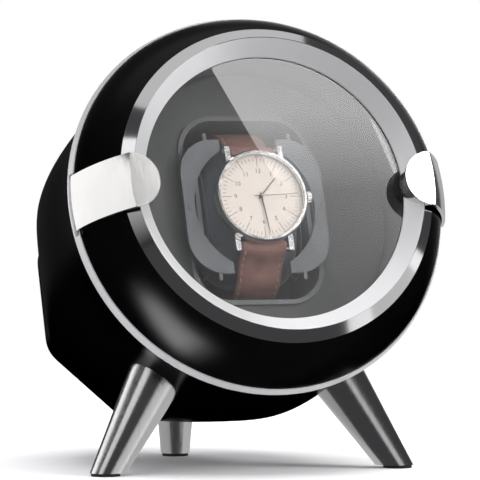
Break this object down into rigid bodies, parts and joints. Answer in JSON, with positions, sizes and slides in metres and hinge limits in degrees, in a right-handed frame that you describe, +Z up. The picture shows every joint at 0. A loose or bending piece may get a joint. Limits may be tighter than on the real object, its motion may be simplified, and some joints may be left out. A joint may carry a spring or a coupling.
{
  "type": "watch winder",
  "caption": "Tilted round-headed watch winder on three legs, with a hinged glass window held by bright clips and a motor-turned cushion holding a strapped wristwatch.",
  "frame": {"origin": "centre of the footprint's box, on the surface that the feet stand on", "axes": "+Z up, the glass window faces -Y, +X to the right seen from the front"},
  "size_m": [0.1628, 0.1902, 0.1874],
  "materials": {
    "shell_black": "satin gloss black",
    "back_black": "fine textured black",
    "ring_satin": "satin",
    "bezel_chrome": "bright with a satin inner edge",
    "clip_chrome": "bright polished",
    "backing_dark": "matt",
    "leg_chrome": "polished, slightly satin",
    "pad_rubber": "matt",
    "gasket_rubber": "matt",
    "window_glass": "clear",
    "lining_grey": "satin dark grey",
    "cradle_black": "matt",
    "wing_grey": "satin grey",
    "cushion_fabric": "soft suede-like cloth",
    "watch_steel": "polished",
    "movement_brass": "plated",
    "dial_ivory": "matt ivory",
    "watch_crystal": "clear",
    "hands_dark": "dark",
    "strap_leather": "brown grained",
    "fastener_steel": "machined",
    "bush_brass": "sintered",
    "gear_nylon": "natural nylon",
    "plate_metal": "zinc plated",
    "board_green": "solder mask",
    "post_nylon": "natural nylon",
    "switch_body": "matt",
    "inlet_black": "matt",
    "lamp_lens": "translucent",
    "magnet_nickel": "nickel plated"
  },
  "bodies": {
    "housing": {"front_shell": "shell_black", "seam_ring": "ring_satin", "rear_shell": "shell_black", "leg_left": "leg_chrome", "leg_right": "leg_chrome", "rear_foot": "leg_chrome", "foot_pad_left": "pad_rubber", "foot_pad_right": "pad_rubber", "foot_pad_rear": "pad_rubber", "leg_bolts": "fastener_steel", "inner_cup": "lining_grey", "front_bush": "bush_brass", "rear_bush": "bush_brass", "motor_plate": "plate_metal", "plate_posts": "plate_metal", "plate_screws": "fastener_steel", "gear_motor": "plate_metal", "back_cover": "back_black", "cover_screws": "fastener_steel", "circuit_board": "board_green", "board_posts": "post_nylon", "rotary_switch": "switch_body", "rocker_housing": "back_black", "dc_inlet": "inlet_black", "status_lamp": "lamp_lens", "hinge_pin": "fastener_steel", "shell_screws": "fastener_steel", "catch_magnet": "magnet_nickel"},
    "window": {"window_bezel": "bezel_chrome", "window_glass": "window_glass", "glass_gasket": "gasket_rubber", "clip_left": "clip_chrome", "clip_right": "clip_chrome", "clip_spacers": "clip_chrome", "clip_backings": "backing_dark"},
    "rotor": {"rotor_disc": "lining_grey", "holder_cradle": "cradle_black", "rotor_shaft": "fastener_steel", "rotor_gear": "gear_nylon", "shaft_clip": "fastener_steel"},
    "pinion": {"drive_pinion": "gear_nylon"},
    "cushion": {"cushion_pad": "cushion_fabric", "cushion_core": "cradle_black", "holder_wing_left": "wing_grey", "holder_wing_right": "wing_grey", "watch_case": "watch_steel", "watch_movement": "movement_brass", "watch_dial": "dial_ivory", "watch_crystal": "watch_crystal", "strap_upper": "strap_leather", "strap_lower": "strap_leather", "strap_buckle": "watch_steel", "spring_bars": "watch_steel"},
    "hour_hand": {"hour_hand": "hands_dark"},
    "minute_hand": {"minute_hand": "hands_dark"},
    "second_hand": {"second_hand": "hands_dark"},
    "crown": {"watch_crown": "watch_steel"},
    "knob": {"mode_knob": "back_black"},
    "rocker": {"power_rocker": "back_black"}
  },
  "joints": [
    {"name": "window_hinge", "type": "hinge", "parent": "housing", "child": "window", "pos_m": [-0.0788, -0.04839, 0.1113], "axis": [0, -0.3322, -0.9432], "range_deg": [0, 75]},
    {"name": "rotor_spin", "type": "hinge", "parent": "housing", "child": "rotor", "pos_m": [0, -0.04896, 0.1115], "axis": [0, -0.9432, 0.3322], "continuous": true},
    {"name": "pinion_spin", "type": "hinge", "parent": "housing", "child": "pinion", "pos_m": [0, -0.06142, 0.07613], "axis": [0, -0.9432, 0.3322], "continuous": true},
    {"name": "cushion_slide", "type": "slide", "parent": "rotor", "child": "cushion", "axis": [0, -0.9432, 0.3322], "range_m": [0, 0.008]},
    {"name": "second_hand_turn", "type": "hinge", "parent": "cushion", "child": "second_hand", "pos_m": [0, -0.05126, 0.11401], "axis": [0, 0.9432, -0.3322], "continuous": true},
    {"name": "minute_hand_turn", "type": "hinge", "parent": "cushion", "child": "minute_hand", "pos_m": [0, -0.05126, 0.11401], "axis": [0, 0.9432, -0.3322], "continuous": true},
    {"name": "hour_hand_turn", "type": "hinge", "parent": "cushion", "child": "hour_hand", "pos_m": [0, -0.05126, 0.11401], "axis": [0, 0.9432, -0.3322], "continuous": true},
    {"name": "crown_turn", "type": "hinge", "parent": "cushion", "child": "crown", "pos_m": [0.0215, -0.04937, 0.11334], "axis": [1, 0, 0], "continuous": true},
    {"name": "mode_knob_turn", "type": "hinge", "parent": "housing", "child": "knob", "pos_m": [-0.015, 0.08647, 0.06858], "axis": [0, 0.9432, -0.3322], "range_deg": [-90, 90]},
    {"name": "power_rocker_tilt", "type": "hinge", "parent": "housing", "child": "rocker", "pos_m": [0.015, 0.08176, 0.07024], "axis": [-1, 0, 0], "range_deg": [0, 10]}
  ],
  "couplings": [
    {"joint": "pinion_spin", "follows": "rotor_spin", "ratio": -4},
    {"joint": "minute_hand_turn", "follows": "second_hand_turn", "ratio": 0.016667},
    {"joint": "hour_hand_turn", "follows": "second_hand_turn", "ratio": 0.0013889}
  ]
}
